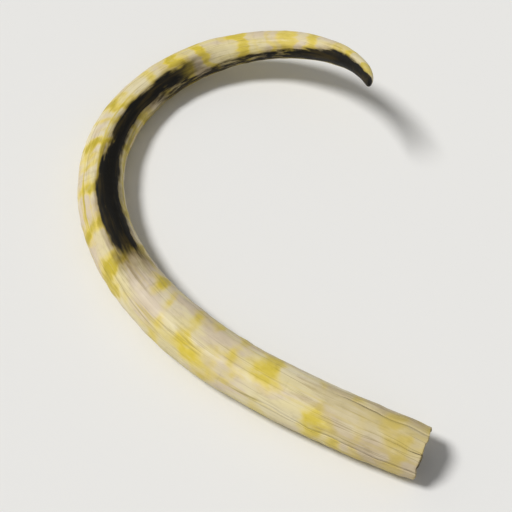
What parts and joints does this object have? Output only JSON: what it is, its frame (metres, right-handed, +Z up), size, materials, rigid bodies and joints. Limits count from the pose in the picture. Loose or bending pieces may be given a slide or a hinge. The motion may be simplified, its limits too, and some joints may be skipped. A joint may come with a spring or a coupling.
{
  "type": "mammoth tusk",
  "caption": "Long curved ivory tusk that tapers in a rising spiral from a hollow root to a point, lying on its outer side.",
  "frame": {"origin": "middle of the tusk's bounding box, on the surface that it lies on", "axes": "+Z up, +X the way the hollow root opens, +Y from the root's stretch towards the tip's"},
  "size_m": [1.2936, 1.2422, 0.3267],
  "materials": {
    "ivory": "satin, banded cream and yellow with a dark stain inside the bend"
  },
  "bodies": {
    "root": {"tusk": "ivory"}
  },
  "joints": []
}
